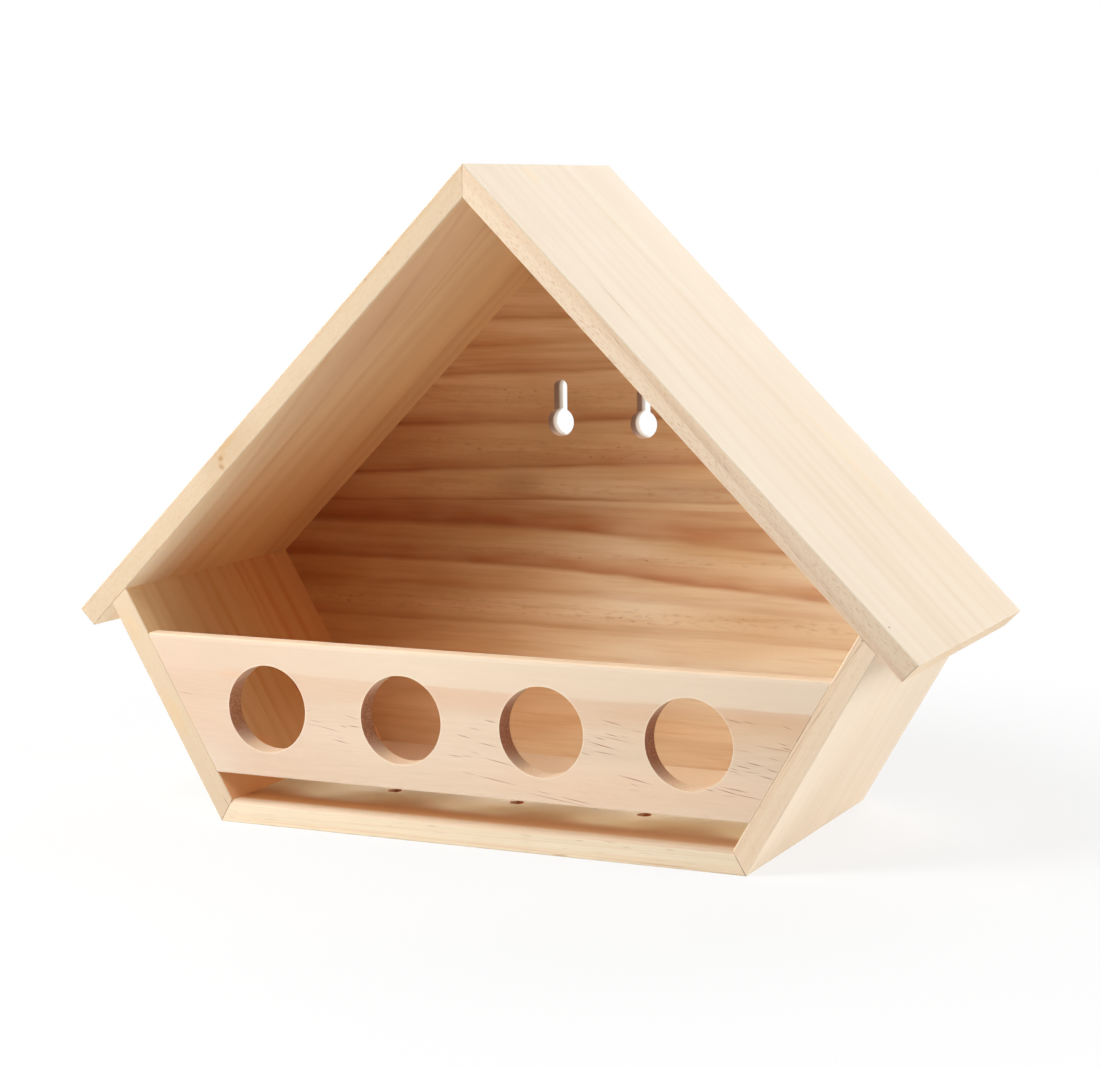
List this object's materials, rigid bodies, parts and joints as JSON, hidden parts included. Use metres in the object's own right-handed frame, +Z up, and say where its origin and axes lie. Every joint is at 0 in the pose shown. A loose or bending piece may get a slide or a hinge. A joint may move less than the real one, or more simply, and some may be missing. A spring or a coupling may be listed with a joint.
{
  "type": "dove nesting box",
  "caption": "Open-fronted pine nest box with a gable roof, splayed sides, a holed front rail over a feed gap and keyholes in the back for hanging on a wall.",
  "frame": {"origin": "middle of the underside of the floor board, which is the middle of the bottom of the bounding box", "axes": "+X to the right seen from the open front, +Y from the front to the wall behind, +Z up"},
  "size_m": [0.355, 0.135, 0.26],
  "materials": {
    "pine_outer": "bare planed softwood, matt",
    "pine_figured": "bare planed softwood with strong figure, matt"
  },
  "bodies": {
    "root": {"roof_board_left": "pine_outer", "roof_board_right": "pine_outer", "side_board_left": "pine_outer", "side_board_right": "pine_outer", "floor_board": "pine_outer", "back_panel": "pine_figured", "front_rail": "pine_outer"}
  },
  "joints": []
}
